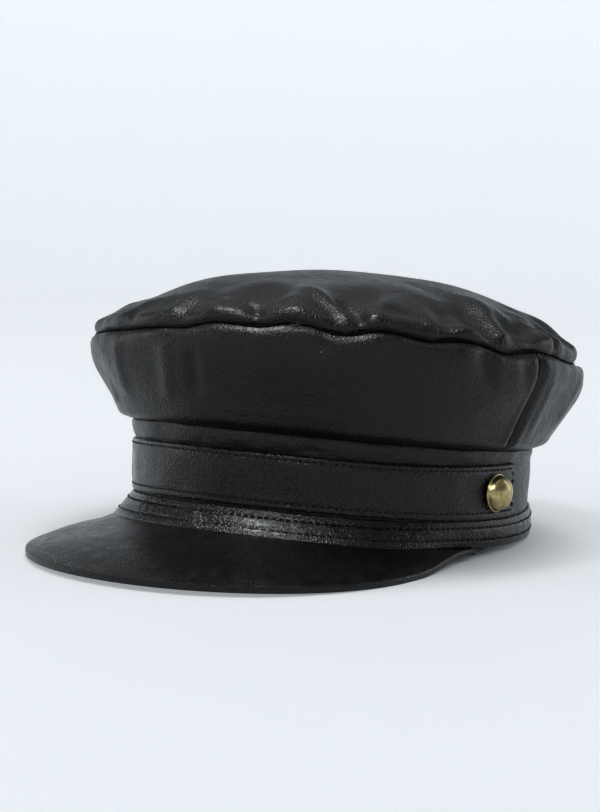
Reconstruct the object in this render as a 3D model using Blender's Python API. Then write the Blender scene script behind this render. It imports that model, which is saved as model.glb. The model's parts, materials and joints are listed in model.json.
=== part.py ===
"""A soft leather biker cap that stands on a flat surface.

Metres, +Z up. The peak points to -Y and the surface is z = 0. Angles run round the head from the front, where
they are 0, towards +X. Each leather piece is a wall swept round the head: a profile gives its outer face as
(out, up), with out measured from the head band's outer face, and the wall's thickness gives its inner face.
"""
import math

import bmesh
import bpy
import numpy as np

# Head band
HEAD_LENGTH = 0.2018
HEAD_WIDTH = 0.1806
BAND_WALL = 0.002
COLLAR_HEIGHT = 0.0094
BACK_DROP = 0.0102
BAND_BULGE = 0.0018
BAND_TURN_IN = 0.0035
FRONT_RISE = 0.0165
REST_ANGLE = 140.0
RISE_POWER = 1.95

# Strip round the foot of the band
STRIP_WALL = 0.0015
STRIP_HEIGHT_FRONT = 0.0103
STRIP_HEIGHT_BACK = 0.0145
STRIP_FLARE = 0.0092
FLARE_START = 45.0
FLARE_END = 75.0

# Strap across the front
STRAP_WALL = 0.0015
STRAP_HEIGHT = 0.0245
STRAP_END = 98.0

# Domed metal buttons at the strap's ends
BUTTON_ANGLE = 87.0
BUTTON_DIAMETER = 0.0178
BUTTON_DOME = 0.0046
BUTTON_RIM = 0.0014
BUTTON_SEAT_SHARE = 0.88
BUTTON_CROWN_SHARE = 0.97

# Crown
CROWN_WALL = 0.0014
OVERHANG_FRONT = 0.0160
OVERHANG_SIDE = 0.0230
OVERHANG_BACK = 0.0190
RIM_HEIGHT = 0.0905
RIM_TILT = 0.0170
TOP_RISE = 0.0348
RIM_TUCK = 0.0030
SIDE_SEAM_ANGLE = 86.5

# How fast the rim's tilt and its wander die away towards the top's middle, how fast the side wall's folds do
# towards the rim seam, and how much of a pucker is left at the seam itself, below the share where it is whole
TILT_FADE = 2
WANDER_FADE = 4
FOLD_FADE = 8
PUCKER_AT_SEAM = 0.35
PUCKER_WHOLE = 0.06

# Peak
PEAK_WALL = 0.0028
PEAK_REACH = 0.0654
PEAK_TIP = 0.0030
PEAK_END = 78.0
PEAK_LIFT = 0.0022
PEAK_TUCK = 0.0025
PEAK_SEAT = 0.0006
PEAK_BEND = 0.060

# How the peak's outline falls back from its front to its ends, the share of its reach above which its edge
# lifts off the surface, and the share below which its ends rise to the band
PEAK_ROUNDNESS = 2.4
PEAK_POINTEDNESS = 1.9
PEAK_LIFT_SHARE = 0.45
PEAK_TIP_SHARE = 0.35
PEAK_TIP_POWER = 1.5

# The space between leathers that are sewn or pressed together
GAP = 0.0003

# Steps round the whole head, a number that four divides, and rings up to the top's small middle
STEPS = 84
TOP_RINGS = 9
TOP_LEAN = 86.0
BUTTON_SIDES = 20
BUTTON_RINGS = 5
SHARP_ANGLE = 50.0

# Head band's outer face between the strap and the crown: height as a share of the way up, out as a share of
# the band's bulge
COLLAR_PROFILE = (
    # height, out
    (0.02, 0.00),
    (0.32, 0.60),
    (0.66, 1.00),
    (0.97, 0.85),
)

# Strip's outer face: height as a share of the strip's height, out as a share of its flare
STRIP_PROFILE = (
    # height, flare
    (0.00, 1.00),
    (0.30, 0.62),
    (0.66, 0.24),
    (1.00, 0.00),
)

# Crown's side wall from its foot to the rim seam: height as a share of the wall's height, out as a share of
# the overhang, at the front of the head and at its back
SIDE_PROFILE = (
    # height, front, back
    (0.04, 0.22, 0.25),
    (0.15, 0.38, 0.47),
    (0.30, 0.52, 0.70),
    (0.47, 0.72, 0.89),
    (0.64, 0.93, 1.05),
    (0.80, 1.08, 1.13),
    (0.92, 1.11, 1.12),
    (1.00, 1.00, 1.00),
)

# Peak's upper face between the strip and its outer edge, as shares of the way out
PEAK_ROWS = (0.0, 0.2, 0.4, 0.6, 0.8, 1.0)

# How the rim seam wanders above and below its plane, as shares of the rim's height
RIM_WANDER = (
    # angle, rise
    (-180.0, -0.005),
    (-150.0, -0.030),
    (-118.0, -0.045),
    (-85.0, -0.075),
    (-58.0, -0.085),
    (-30.0, -0.060),
    (-2.0, -0.030),
    (9.0, 0.010),
    (18.0, 0.004),
    (27.0, 0.034),
    (37.0, 0.002),
    (46.5, 0.038),
    (56.0, 0.016),
    (65.0, 0.032),
    (76.0, 0.000),
    (88.0, 0.028),
    (106.0, 0.002),
    (128.0, 0.012),
    (152.0, -0.010),
)

# Puckers where the round top is gathered to the rim seam: depth as a share of the top's rise, and reach as a
# share of the way from the rim to the middle
PUCKERS = (
    # angle, width, depth, reach
    (-163.0, 6.5, 0.055, 0.34),
    (-143.0, 6.0, 0.040, 0.26),
    (-121.0, 7.0, 0.060, 0.36),
    (-101.0, 5.5, 0.045, 0.24),
    (-81.0, 6.5, 0.060, 0.34),
    (-60.0, 6.0, 0.050, 0.38),
    (-41.0, 5.0, 0.045, 0.28),
    (-21.0, 6.0, 0.055, 0.30),
    (-2.0, 6.0, 0.070, 0.34),
    (18.0, 5.5, 0.075, 0.36),
    (38.0, 6.5, 0.085, 0.46),
    (57.0, 6.0, 0.075, 0.36),
    (76.0, 6.5, 0.105, 0.50),
    (97.0, 6.0, 0.060, 0.40),
    (117.0, 6.5, 0.055, 0.30),
    (137.0, 6.0, 0.050, 0.34),
    (158.0, 6.0, 0.045, 0.28),
    (178.0, 6.5, 0.055, 0.36),
)

# Soft folds in the crown's side wall: depth as a share of the overhang, in where it is negative, and the
# height of the fold's middle and its spread as shares of the wall's height
SIDE_FOLDS = (
    # angle, width, depth, middle, spread
    (-170.0, 8.0, -0.09, 0.60, 0.30),
    (-148.0, 7.0, 0.07, 0.55, 0.32),
    (-126.0, 8.0, -0.08, 0.66, 0.28),
    (-104.0, 6.0, 0.06, 0.50, 0.34),
    (-78.0, 7.0, -0.10, 0.62, 0.30),
    (-58.0, 5.5, 0.09, 0.58, 0.34),
    (-44.0, 4.5, -0.11, 0.60, 0.30),
    (-30.0, 5.0, 0.07, 0.55, 0.34),
    (-12.0, 6.0, -0.09, 0.66, 0.30),
    (6.0, 6.0, 0.05, 0.72, 0.22),
    (30.0, 4.5, -0.10, 0.88, 0.16),
    (49.0, 4.5, -0.09, 0.88, 0.16),
    (62.0, 6.0, 0.05, 0.74, 0.24),
    (71.0, 4.0, -0.10, 0.84, 0.18),
    (82.0, 4.5, 0.06, 0.70, 0.26),
    (101.0, 5.5, -0.08, 0.60, 0.30),
    (122.0, 7.0, 0.06, 0.62, 0.30),
    (146.0, 8.0, -0.08, 0.58, 0.32),
    (166.0, 7.0, 0.06, 0.60, 0.30),
)

LEATHER = (0.020, 0.021, 0.023)
STRAP_LEATHER = (0.016, 0.017, 0.018)
PEAK_LEATHER = (0.024, 0.025, 0.027)
BRASS = (0.300, 0.235, 0.110)


# Shape rules

def share_between(value, start, end):
    """0 at start, 1 at end and a smooth ramp in between."""
    share = min(max((value - start) / (end - start), 0.0), 1.0)
    return share * share * (3.0 - 2.0 * share)


def turn_between(angle, other):
    """The smaller turn from one angle to another, in degrees."""
    return (angle - other + 180.0) % 360.0 - 180.0


def band_face(angle, out, up):
    """The point that lies out from the head band's outer face, at the height up."""
    turn = math.radians(angle)
    across = math.sin(turn)
    along = -math.cos(turn)
    normal = np.array((across / HEAD_WIDTH, along / HEAD_LENGTH))
    normal /= np.linalg.norm(normal)
    foot = np.array((across * HEAD_WIDTH, along * HEAD_LENGTH)) / 2.0
    x, y = foot + normal * out
    return np.array((x, y, up))


def foot_height(angle):
    """The band's lower edge, which arches up over the peak and lies flat at the back."""
    flat = math.cos(math.radians(REST_ANGLE))
    share = (math.cos(math.radians(angle)) - flat) / (1.0 - flat)
    return FRONT_RISE * max(share, 0.0) ** RISE_POWER


def strip_height(angle):
    back = (1.0 - math.cos(math.radians(angle))) / 2.0
    return STRIP_HEIGHT_FRONT + (STRIP_HEIGHT_BACK - STRIP_HEIGHT_FRONT) * back


def strap_top(angle):
    return foot_height(angle) + strip_height(angle) + GAP + STRAP_HEIGHT


def joint_height(angle):
    """Where the crown's side wall meets the band: a collar above the strap, and lower at the back."""
    back = ((1.0 - math.cos(math.radians(angle))) / 2.0) ** 2
    return strap_top(angle) + COLLAR_HEIGHT - BACK_DROP * back


def overhang(angle):
    """How far the rim seam stands out from the band."""
    across = math.sin(math.radians(angle)) ** 2
    end = OVERHANG_FRONT if math.cos(math.radians(angle)) > 0.0 else OVERHANG_BACK
    return end + (OVERHANG_SIDE - end) * across


def rim_wander(angle):
    """The rim seam's height above its plane, read along a smooth line through RIM_WANDER."""
    for index, (end, rise) in enumerate(RIM_WANDER):
        start, before = RIM_WANDER[index - 1]
        turn = (angle - start) % 360.0
        span = (end - start) % 360.0
        if turn < span:
            return RIM_HEIGHT * (before + (rise - before) * share_between(turn, 0.0, span))
    return 0.0


def rim_height(angle, inward=0.0):
    """The rim seam's height, or the height that the round top rises from where it is inward of the seam."""
    tilt = RIM_TILT * math.cos(math.radians(angle))
    return RIM_HEIGHT + tilt * (1.0 - inward) ** TILT_FADE + rim_wander(angle) * (1.0 - inward) ** WANDER_FADE


def rim_face(angle, reach, up):
    """The point at the distance reach from the head's middle, towards the rim seam at this angle."""
    x, y, _ = band_face(angle, overhang(angle), up)
    size = math.hypot(x, y)
    return np.array((x / size * reach, y / size * reach, up))


def flare(angle):
    """How far the strip's lower edge stands out over the peak."""
    return STRIP_FLARE * (1.0 - share_between(abs(angle), FLARE_START, FLARE_END))


def peak_share(angle):
    """The peak's reach as a share of its reach at the front."""
    return (1.0 - min(abs(angle) / PEAK_END, 1.0) ** PEAK_ROUNDNESS) ** PEAK_POINTEDNESS


def peak_edge_height(angle):
    """The underside of the peak's outer edge: lifted at the front, flat beside it, and up at its tips."""
    share = peak_share(angle)
    front = PEAK_LIFT * max(0.0, (share - PEAK_LIFT_SHARE) / (1.0 - PEAK_LIFT_SHARE)) ** 2
    tip = max(0.0, 1.0 - share / PEAK_TIP_SHARE) ** PEAK_TIP_POWER
    return front + tip * (foot_height(angle) - GAP - PEAK_WALL)


# Profiles

def thicken(profile, wall):
    """A closed loop: the outer face's points, and behind them the inner face's, one wall further in."""
    outer = np.array(profile)
    steps = np.diff(outer, axis=0)
    normals = np.stack([steps[:, 1], -steps[:, 0]], axis=1)
    normals /= np.linalg.norm(normals, axis=1)[:, None]
    corners = np.concatenate([normals[:1], normals[:-1] + normals[1:], normals[-1:]])
    corners /= np.linalg.norm(corners, axis=1)[:, None]
    return np.concatenate([outer, (outer - corners * wall)[::-1]])


def level_wall(profile, wall):
    """A closed loop like thicken's, whose inner face has the outer face's heights, so its ends stay level."""
    outer = np.array(profile)
    slope = np.gradient(outer[:, 0], outer[:, 1])
    inner = outer.copy()
    inner[:, 0] -= wall * np.sqrt(1.0 + slope ** 2)
    return np.concatenate([outer, inner[::-1]])


def band_profile(angle):
    foot = foot_height(angle)
    high = joint_height(angle)
    low = min(strap_top(angle), high - COLLAR_HEIGHT / 2.0)
    collar = [(BAND_BULGE * out, low + (high - low) * share) for share, out in COLLAR_PROFILE]
    return [(0.0, foot), (0.0, (foot + low) / 2.0)] + collar + [(0.0, high + BAND_TURN_IN)]


def strip_loop(angle):
    foot = foot_height(angle)
    clear = GAP + STRIP_WALL
    rows = [(clear + flare(angle) * out, foot + strip_height(angle) * share) for share, out in STRIP_PROFILE]
    return level_wall(rows, STRIP_WALL)


def strap_profile(angle):
    high = strap_top(angle)
    out = GAP + STRAP_WALL
    return [(out, high - STRAP_HEIGHT), (out, high - STRAP_HEIGHT / 2.0), (out, high)]


def side_fold(angle, share):
    """How far the crown's side wall is folded out or in."""
    total = 0.0
    for centre, width, depth, middle, spread in SIDE_FOLDS:
        across = turn_between(angle, centre) / width
        along = (share - middle) / spread
        total += depth * math.exp(-across * across - along * along)
    return total


def side_profile(angle):
    """The crown's side wall: its foot on the band, its belly, and its upper edge turned in at the rim."""
    foot = joint_height(angle)
    height = rim_height(angle) - GAP / 2.0 - foot
    hang = overhang(angle)
    seat = BAND_BULGE + GAP
    back = (1.0 - math.cos(math.radians(angle))) / 2.0
    rows = [(seat, foot)]
    for share, front_out, back_out in SIDE_PROFILE:
        out = front_out + (back_out - front_out) * back + side_fold(angle, share) * (1.0 - share ** FOLD_FADE)
        rows.append((seat + (hang - seat) * out, foot + height * share))
    return rows + [(hang - RIM_TUCK, foot + height)]


def side_loop(angle):
    return thicken(side_profile(angle), CROWN_WALL)


def pucker(angle, inward):
    """How deep the top is gathered, inward being the way from the rim to the middle."""
    total = 0.0
    for centre, width, depth, reach in PUCKERS:
        spread = 1.0 + inward / reach
        across = turn_between(angle, centre) / (width * spread)
        total += depth * math.exp(-across * across - (inward / reach) ** 2)
    return TOP_RISE * total


def top_section(angle):
    """The round top from its turned-in edge, over the rim, to the middle, and back along its inside."""
    x, y, _ = band_face(angle, overhang(angle), 0.0)
    reach = math.hypot(x, y)
    rows = [(reach - RIM_TUCK, rim_height(angle) + GAP / 2.0)]
    for ring in range(TOP_RINGS):
        lean = math.radians(TOP_LEAN * ring / (TOP_RINGS - 1))
        inward = 1.0 - math.cos(lean)
        whole = share_between(inward, 0.0, PUCKER_WHOLE)
        dent = pucker(angle, inward) * (PUCKER_AT_SEAM + (1.0 - PUCKER_AT_SEAM) * whole)
        up = rim_height(angle, inward) + GAP / 2.0 + (TOP_RISE - dent) * math.sin(lean)
        rows.append(((reach - dent) * math.cos(lean), up))
    return thicken(rows, CROWN_WALL)


def peak_loop(angle):
    """The peak from its inner edge under the strip to its outer edge, and back along its underside."""
    foot = foot_height(angle) - GAP
    start = strip_loop(angle)[-1][0] + PEAK_SEAT
    edge = PEAK_TIP + PEAK_REACH * peak_share(angle)
    low = peak_edge_height(angle) + PEAK_WALL
    rows = [(GAP, foot + PEAK_TUCK * flare(angle) / STRIP_FLARE)]
    for share in PEAK_ROWS:
        drop = share + PEAK_BEND * math.sin(2.0 * math.pi * share)
        rows.append((start + (edge - start) * share, foot + (low - foot) * drop))
    upper = np.array(rows)
    return np.concatenate([upper, (upper - (0.0, PEAK_WALL))[::-1]])


# Building

def swept(angles, loop_at, face=band_face):
    """A section for each angle, with the points of its loop set out from a face of the cap."""
    return [[face(angle, out, up) for out, up in loop_at(angle)] for angle in angles]


def arc_angles(start, end):
    """Angles from start to end, with the whole head's steps in between that aren't too near the ends."""
    step = 360.0 / STEPS
    margin = step / 3.0
    first = math.ceil((start + margin) / step)
    last = math.floor((end - margin) / step)
    return [start] + [index * step for index in range(first, last + 1)] + [end]


def leather_object(name, bm, material):
    bmesh.ops.recalc_face_normals(bm, faces=bm.faces)
    mesh = bpy.data.meshes.new(name)
    bm.to_mesh(mesh)
    bm.free()
    mesh.materials.append(material)
    mesh.shade_smooth()
    mesh.set_sharp_from_angle(angle=math.radians(SHARP_ANGLE))
    piece = bpy.data.objects.new(name, mesh)
    bpy.context.collection.objects.link(piece)
    return piece


def join_sections(bm, sections, whole_turn, skip=None):
    """Quads between neighbouring sections. The edge that starts at the point skip is left open."""
    rows = [[bm.verts.new(point) for point in section] for section in sections]
    following = rows[1:] + rows[:1] if whole_turn else rows[1:]
    for near, far in zip(rows, following):
        count = len(near)
        for index in range(count):
            if index != skip:
                after = (index + 1) % count
                bm.faces.new((near[index], near[after], far[after], far[index]))
    return rows


def ring_wall(name, loop_at, material):
    """A wall that runs all the way round the head."""
    bm = bmesh.new()
    angles = [360.0 * index / STEPS - 180.0 for index in range(STEPS)]
    join_sections(bm, swept(angles, loop_at), True)
    return leather_object(name, bm, material)


def arc_wall(name, angles, loop_at, material):
    """A wall that runs part of the way round, closed at its two ends."""
    bm = bmesh.new()
    rows = join_sections(bm, swept(angles, loop_at), False)
    for row in (rows[0], rows[-1]):
        count = len(row)
        for index in range(count // 2 - 1):
            bm.faces.new((row[index], row[index + 1], row[count - 2 - index], row[count - 1 - index]))
    return leather_object(name, bm, material)


def dome_wall(name, loop_at, material):
    """A wall that closes over the middle of the head."""
    bm = bmesh.new()
    angles = [360.0 * index / STEPS - 180.0 for index in range(STEPS)]
    sections = swept(angles, loop_at, rim_face)
    innermost = len(sections[0]) // 2 - 1
    rows = join_sections(bm, sections, True, skip=innermost)
    for index in (innermost, innermost + 1):
        bm.faces.new([row[index] for row in rows])
    return leather_object(name, bm, material)


def button(name, angle, material):
    """A domed button on the strap, turned round the strap's outward direction."""
    middle = strap_top(angle) - STRAP_HEIGHT / 2.0
    seat = band_face(angle, 2.0 * GAP + STRAP_WALL, middle)
    tip = band_face(angle, 2.0 * GAP + STRAP_WALL + BUTTON_RIM, middle)
    outward = (tip - seat) / BUTTON_RIM
    sideways = np.array((-outward[1], outward[0], 0.0))
    radius = BUTTON_DIAMETER / 2.0
    bm = bmesh.new()
    rings = [(BUTTON_SEAT_SHARE * radius, 0.0), (radius, BUTTON_RIM / 2.0)]
    for step in range(BUTTON_RINGS):
        lean = math.pi / 2.0 * step / BUTTON_RINGS
        reach = BUTTON_CROWN_SHARE * radius * math.cos(lean)
        rings.append((reach, BUTTON_RIM + BUTTON_DOME * math.sin(lean)))
    rows = []
    for side in range(BUTTON_SIDES):
        turn = 2.0 * math.pi * side / BUTTON_SIDES
        spoke = sideways * math.cos(turn) + np.array((0.0, 0.0, 1.0)) * math.sin(turn)
        rows.append([seat + spoke * reach + outward * up for reach, up in rings])
    rows = join_sections(bm, rows, True, skip=len(rings) - 1)
    for index in (0, len(rings) - 1):
        bm.faces.new([row[index] for row in rows])
    return leather_object(name, bm, material)


def finish(name, colour, roughness, metallic=0.0):
    material = bpy.data.materials.new(name)
    material.use_nodes = True
    shader = material.node_tree.nodes["Principled BSDF"]
    shader.inputs["Base Color"].default_value = (*colour, 1.0)
    shader.inputs["Roughness"].default_value = roughness
    shader.inputs["Metallic"].default_value = metallic
    material.diffuse_color = (*colour, 1.0)
    return material


def build_cap():
    leather = finish("crown_leather", LEATHER, 0.45)
    strap_leather = finish("strap_leather", STRAP_LEATHER, 0.40)
    peak_leather = finish("peak_leather", PEAK_LEATHER, 0.50)
    brass = finish("aged_brass", BRASS, 0.35, 1.0)

    seam = SIDE_SEAM_ANGLE
    half_gap = math.degrees(GAP / 2.0 / (HEAD_LENGTH / 2.0))
    pieces = [
        ring_wall("band", lambda angle: thicken(band_profile(angle), BAND_WALL), leather),
        ring_wall("base_strip", strip_loop, strap_leather),
        arc_wall("strap", arc_angles(-STRAP_END, STRAP_END),
                 lambda angle: thicken(strap_profile(angle), STRAP_WALL), strap_leather),
        arc_wall("crown_side_front", arc_angles(-seam + half_gap, seam - half_gap), side_loop, leather),
        arc_wall("crown_side_back", arc_angles(seam + half_gap, 360.0 - seam - half_gap), side_loop, leather),
        dome_wall("crown_top", top_section, leather),
        arc_wall("peak", arc_angles(-PEAK_END, PEAK_END), peak_loop, peak_leather),
        button("button_left", -BUTTON_ANGLE, brass),
        button("button_right", BUTTON_ANGLE, brass),
    ]

    # The origin is under the middle of the whole cap
    cap = bpy.data.objects.new("cap", None)
    bpy.context.collection.objects.link(cap)
    front = HEAD_LENGTH / 2.0 + PEAK_TIP + PEAK_REACH
    back = HEAD_LENGTH / 2.0 + OVERHANG_BACK * max(row[2] for row in SIDE_PROFILE)
    cap.location.y = (front - back) / 2.0
    for piece in pieces:
        piece.parent = cap


for old in list(bpy.data.objects):
    bpy.data.objects.remove(old, do_unlink=True)
build_cap()
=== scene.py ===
"""The looks of a soft black leather biker cap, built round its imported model.

Metres, +Z up, the peak to -Y. Angles run round the head from the front, where they are 0, towards +X.
Each leather piece is a wall swept round the head: its outer face is a profile of (out, up), with out
measured from the head band's outer face. Creases, puckers and the dimples of the stitches are pressed
into that face.
"""
import json
import math

import bpy
import numpy as np
from mathutils import Matrix, Vector

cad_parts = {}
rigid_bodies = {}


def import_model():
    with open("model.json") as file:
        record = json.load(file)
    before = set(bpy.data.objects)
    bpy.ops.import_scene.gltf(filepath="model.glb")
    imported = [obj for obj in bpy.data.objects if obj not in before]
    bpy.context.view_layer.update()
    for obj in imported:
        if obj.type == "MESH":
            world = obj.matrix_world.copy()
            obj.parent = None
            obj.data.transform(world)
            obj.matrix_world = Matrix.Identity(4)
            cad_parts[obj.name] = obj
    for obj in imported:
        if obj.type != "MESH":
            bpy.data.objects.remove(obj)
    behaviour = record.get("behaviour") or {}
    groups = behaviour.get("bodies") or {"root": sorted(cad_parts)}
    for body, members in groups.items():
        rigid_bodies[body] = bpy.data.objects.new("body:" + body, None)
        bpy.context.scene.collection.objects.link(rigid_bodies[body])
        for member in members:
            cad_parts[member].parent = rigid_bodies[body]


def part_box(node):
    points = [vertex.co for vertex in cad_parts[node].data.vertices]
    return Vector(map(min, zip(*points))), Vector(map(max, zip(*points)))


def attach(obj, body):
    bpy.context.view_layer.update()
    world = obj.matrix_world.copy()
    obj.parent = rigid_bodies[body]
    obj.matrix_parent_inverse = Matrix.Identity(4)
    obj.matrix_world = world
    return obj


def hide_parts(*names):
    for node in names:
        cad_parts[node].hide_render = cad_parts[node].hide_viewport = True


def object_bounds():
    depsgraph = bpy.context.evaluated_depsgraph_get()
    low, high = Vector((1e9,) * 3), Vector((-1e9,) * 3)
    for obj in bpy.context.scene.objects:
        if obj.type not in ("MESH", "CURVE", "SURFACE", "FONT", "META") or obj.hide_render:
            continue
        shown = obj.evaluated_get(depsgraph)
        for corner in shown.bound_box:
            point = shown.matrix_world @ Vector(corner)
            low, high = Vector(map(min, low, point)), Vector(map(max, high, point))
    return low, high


MILLIMETRE = 0.001

# Head band
HEAD_LENGTH = 0.2018
HEAD_WIDTH = 0.1806
BAND_WALL = 0.002
COLLAR_HEIGHT = 0.0094
BACK_DROP = 0.0102
BAND_BULGE = 0.0018
BAND_TURN_IN = 0.0035
FRONT_RISE = 0.0165
REST_ANGLE = 140.0
RISE_POWER = 1.95

# Strip round the foot of the band
STRIP_WALL = 0.0015
STRIP_HEIGHT_FRONT = 0.0103
STRIP_HEIGHT_BACK = 0.0145
STRIP_FLARE = 0.0092
FLARE_START = 45.0
FLARE_END = 75.0

# Strap across the front
STRAP_WALL = 0.0015
STRAP_HEIGHT = 0.0245
STRAP_END = 98.0

# Buttons
BUTTON_ANGLE = 87.0
BUTTON_DIAMETER = 0.0178
BUTTON_DOME = 0.0046
BUTTON_RIM = 0.0014
BUTTON_SWELL = 1.35
BUTTON_SIDES = 64
BUTTON_RINGS = 16

# Crown
CROWN_WALL = 0.0014
OVERHANG_FRONT = 0.0160
OVERHANG_SIDE = 0.0230
OVERHANG_BACK = 0.0190
RIM_HEIGHT = 0.0905
RIM_TILT = 0.0170
TOP_RISE = 0.0348
RIM_TUCK = 0.0030
SIDE_SEAM_ANGLE = 86.5
PUCKER_AT_SEAM = 0.35
PUCKER_WHOLE = 0.06

# Peak
PEAK_WALL = 0.0028
PEAK_REACH = 0.0654
PEAK_TIP = 0.0030
PEAK_END = 78.0
PEAK_LIFT = 0.0022
PEAK_TUCK = 0.0025
PEAK_SEAT = 0.0006
PEAK_BEND = 0.060
PEAK_ROUNDNESS = 2.4
PEAK_POINTEDNESS = 1.9
PEAK_LIFT_SHARE = 0.45
PEAK_TIP_SHARE = 0.35
PEAK_TIP_POWER = 1.5

GAP = 0.0003

# How far the collar swells out behind the strap's end, in millimetres, round this angle
COLLAR_SWELL = 1.4
COLLAR_SWELL_ANGLE = 124.0
COLLAR_SWELL_WIDTH = 22.0
COLLAR_PROFILE = (
    # height, out
    (0.00, 0.00),
    (0.32, 0.60),
    (0.66, 1.00),
    (0.97, 0.85),
    (1.12, 0.00),
)

# Rolls of the crown top over its rim seam, in millimetres, each round a lean in degrees from level
RIM_ROLLS = (
    # height, lean, spread
    (1.5, 7.5, 5.5),
    (-1.1, 21.0, 6.0),
)

# How the top and the side wall are worked over, in millimetres
TOP_CREASE_GAIN = 1.6
SIDE_CREASE_GAIN = 1.3
PINCHED_SHARE = 0.95
TOP_UNDERCUT = 1.2
SIDE_UNDERCUT = 0.9
SEAM_GROOVE = 1.4
SEAM_LIP = 0.6
HOLE_DIMPLE = 0.30
ROW_DIMPLE = 0.14
BUTTON_SEAT_DEPTH = 0.35
STRIP_PILLOW = 0.30

# Stitches, with the rows of the strip as shares of its slant from its edges
STITCH_PITCH = 0.0032
STITCH_LENGTH = 0.0023
THREAD_RADIUS = 0.00033
THREAD_SUNK = 0.00025
STRIP_THREAD_RAISED = 0.00005
THREAD_SIDES = 6
THREAD_RINGS = 7
STRAP_STITCH_TOP = 0.0020
STRAP_STITCH_LOW = 0.0032
STRAP_STITCH_END = 0.0022
STRIP_STITCH_TOP_SHARE = 0.25
STRIP_STITCH_LOW_SHARE = 0.29

# Strip's outer face: height as a share of the strip's height, out as a share of its flare
STRIP_PROFILE = (
    # height, flare
    (0.00, 1.00),
    (0.30, 0.62),
    (0.66, 0.24),
    (1.00, 0.00),
)

# Crown's side wall: height as a share of the wall's height, out as a share of the overhang, front and back
SIDE_PROFILE = (
    # height, front, back
    (0.00, 0.00, 0.00),
    (0.04, 0.22, 0.25),
    (0.15, 0.38, 0.47),
    (0.30, 0.52, 0.70),
    (0.47, 0.72, 0.89),
    (0.64, 0.93, 1.05),
    (0.80, 1.08, 1.13),
    (0.92, 1.11, 1.12),
    (1.00, 1.00, 1.00),
)

# How the rim seam wanders above and below its plane, as shares of the rim's height
RIM_WANDER = (
    # angle, rise
    (-180.0, -0.005),
    (-150.0, -0.030),
    (-118.0, -0.045),
    (-85.0, -0.075),
    (-58.0, -0.085),
    (-30.0, -0.060),
    (-2.0, -0.030),
    (9.0, 0.010),
    (18.0, 0.004),
    (27.0, 0.034),
    (37.0, 0.002),
    (46.5, 0.038),
    (56.0, 0.016),
    (65.0, 0.032),
    (76.0, 0.000),
    (88.0, 0.028),
    (106.0, 0.002),
    (128.0, 0.012),
    (152.0, -0.010),
)

# Puckers where the round top is gathered to the rim seam: depth as a share of the top's rise, reach inwards
PUCKERS = (
    # angle, width, depth, reach
    (-163.0, 6.5, 0.055, 0.34),
    (-143.0, 6.0, 0.040, 0.26),
    (-121.0, 7.0, 0.060, 0.36),
    (-101.0, 5.5, 0.045, 0.24),
    (-81.0, 6.5, 0.060, 0.34),
    (-60.0, 6.0, 0.050, 0.38),
    (-41.0, 5.0, 0.045, 0.28),
    (-21.0, 6.0, 0.055, 0.30),
    (-2.0, 6.0, 0.070, 0.34),
    (18.0, 5.5, 0.075, 0.36),
    (38.0, 6.5, 0.085, 0.46),
    (57.0, 6.0, 0.075, 0.36),
    (76.0, 6.5, 0.105, 0.50),
    (97.0, 6.0, 0.060, 0.40),
    (117.0, 6.5, 0.055, 0.30),
    (137.0, 6.0, 0.050, 0.34),
    (158.0, 6.0, 0.045, 0.28),
    (178.0, 6.5, 0.055, 0.36),
)

# Creases that run inwards over the top from the rim seam: angle at the seam and at the inner end, how far in
# they reach, their half width in degrees, and their lift in millimetres, pressed in where it is negative
TOP_CREASES = (
    # at_seam, at_end, reach, width, lift
    (-25.0, -20.0, 0.16, 2.2, 0.9),
    (-31.0, -36.0, 0.20, 2.6, -0.8),
    (-4.5, -7.0, 0.24, 2.2, 0.9),
    (3.0, 9.0, 0.15, 1.8, -0.6),
    (18.0, 15.0, 0.10, 1.3, -1.3),
    (28.0, 24.0, 0.16, 2.4, 0.6),
    (38.6, 23.0, 0.36, 2.0, 1.1),
    (41.5, 36.0, 0.20, 1.4, -1.6),
    (43.6, 55.0, 0.34, 2.0, 0.9),
    (56.5, 62.0, 0.28, 1.8, 0.9),
    (61.0, 66.0, 0.22, 2.4, -1.1),
    (75.5, 88.0, 0.44, 2.2, 1.8),
    (71.0, 74.0, 0.30, 2.6, -1.5),
    (84.0, 98.0, 0.34, 2.2, -1.2),
    (92.0, 104.0, 0.30, 1.8, 1.1),
    (98.0, 111.0, 0.34, 1.7, 1.3),
    (95.0, 97.0, 0.18, 1.3, -1.3),
    (110.0, 118.0, 0.28, 2.2, 1.0),
    (127.0, 124.0, 0.22, 2.4, 0.8),
    (148.0, 154.0, 0.26, 2.2, 0.9),
    (168.0, 163.0, 0.22, 2.4, 0.7),
    (-172.0, -166.0, 0.26, 2.0, 0.9),
    (-153.0, -157.0, 0.22, 2.2, 0.8),
    (-132.0, -127.0, 0.26, 2.2, 0.9),
    (-110.0, -114.0, 0.22, 2.0, 0.8),
    (-91.0, -85.0, 0.28, 2.2, 1.0),
    (-70.0, -73.0, 0.22, 2.0, 0.8),
    (-51.0, -46.0, 0.26, 2.2, 0.9),
)

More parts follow.
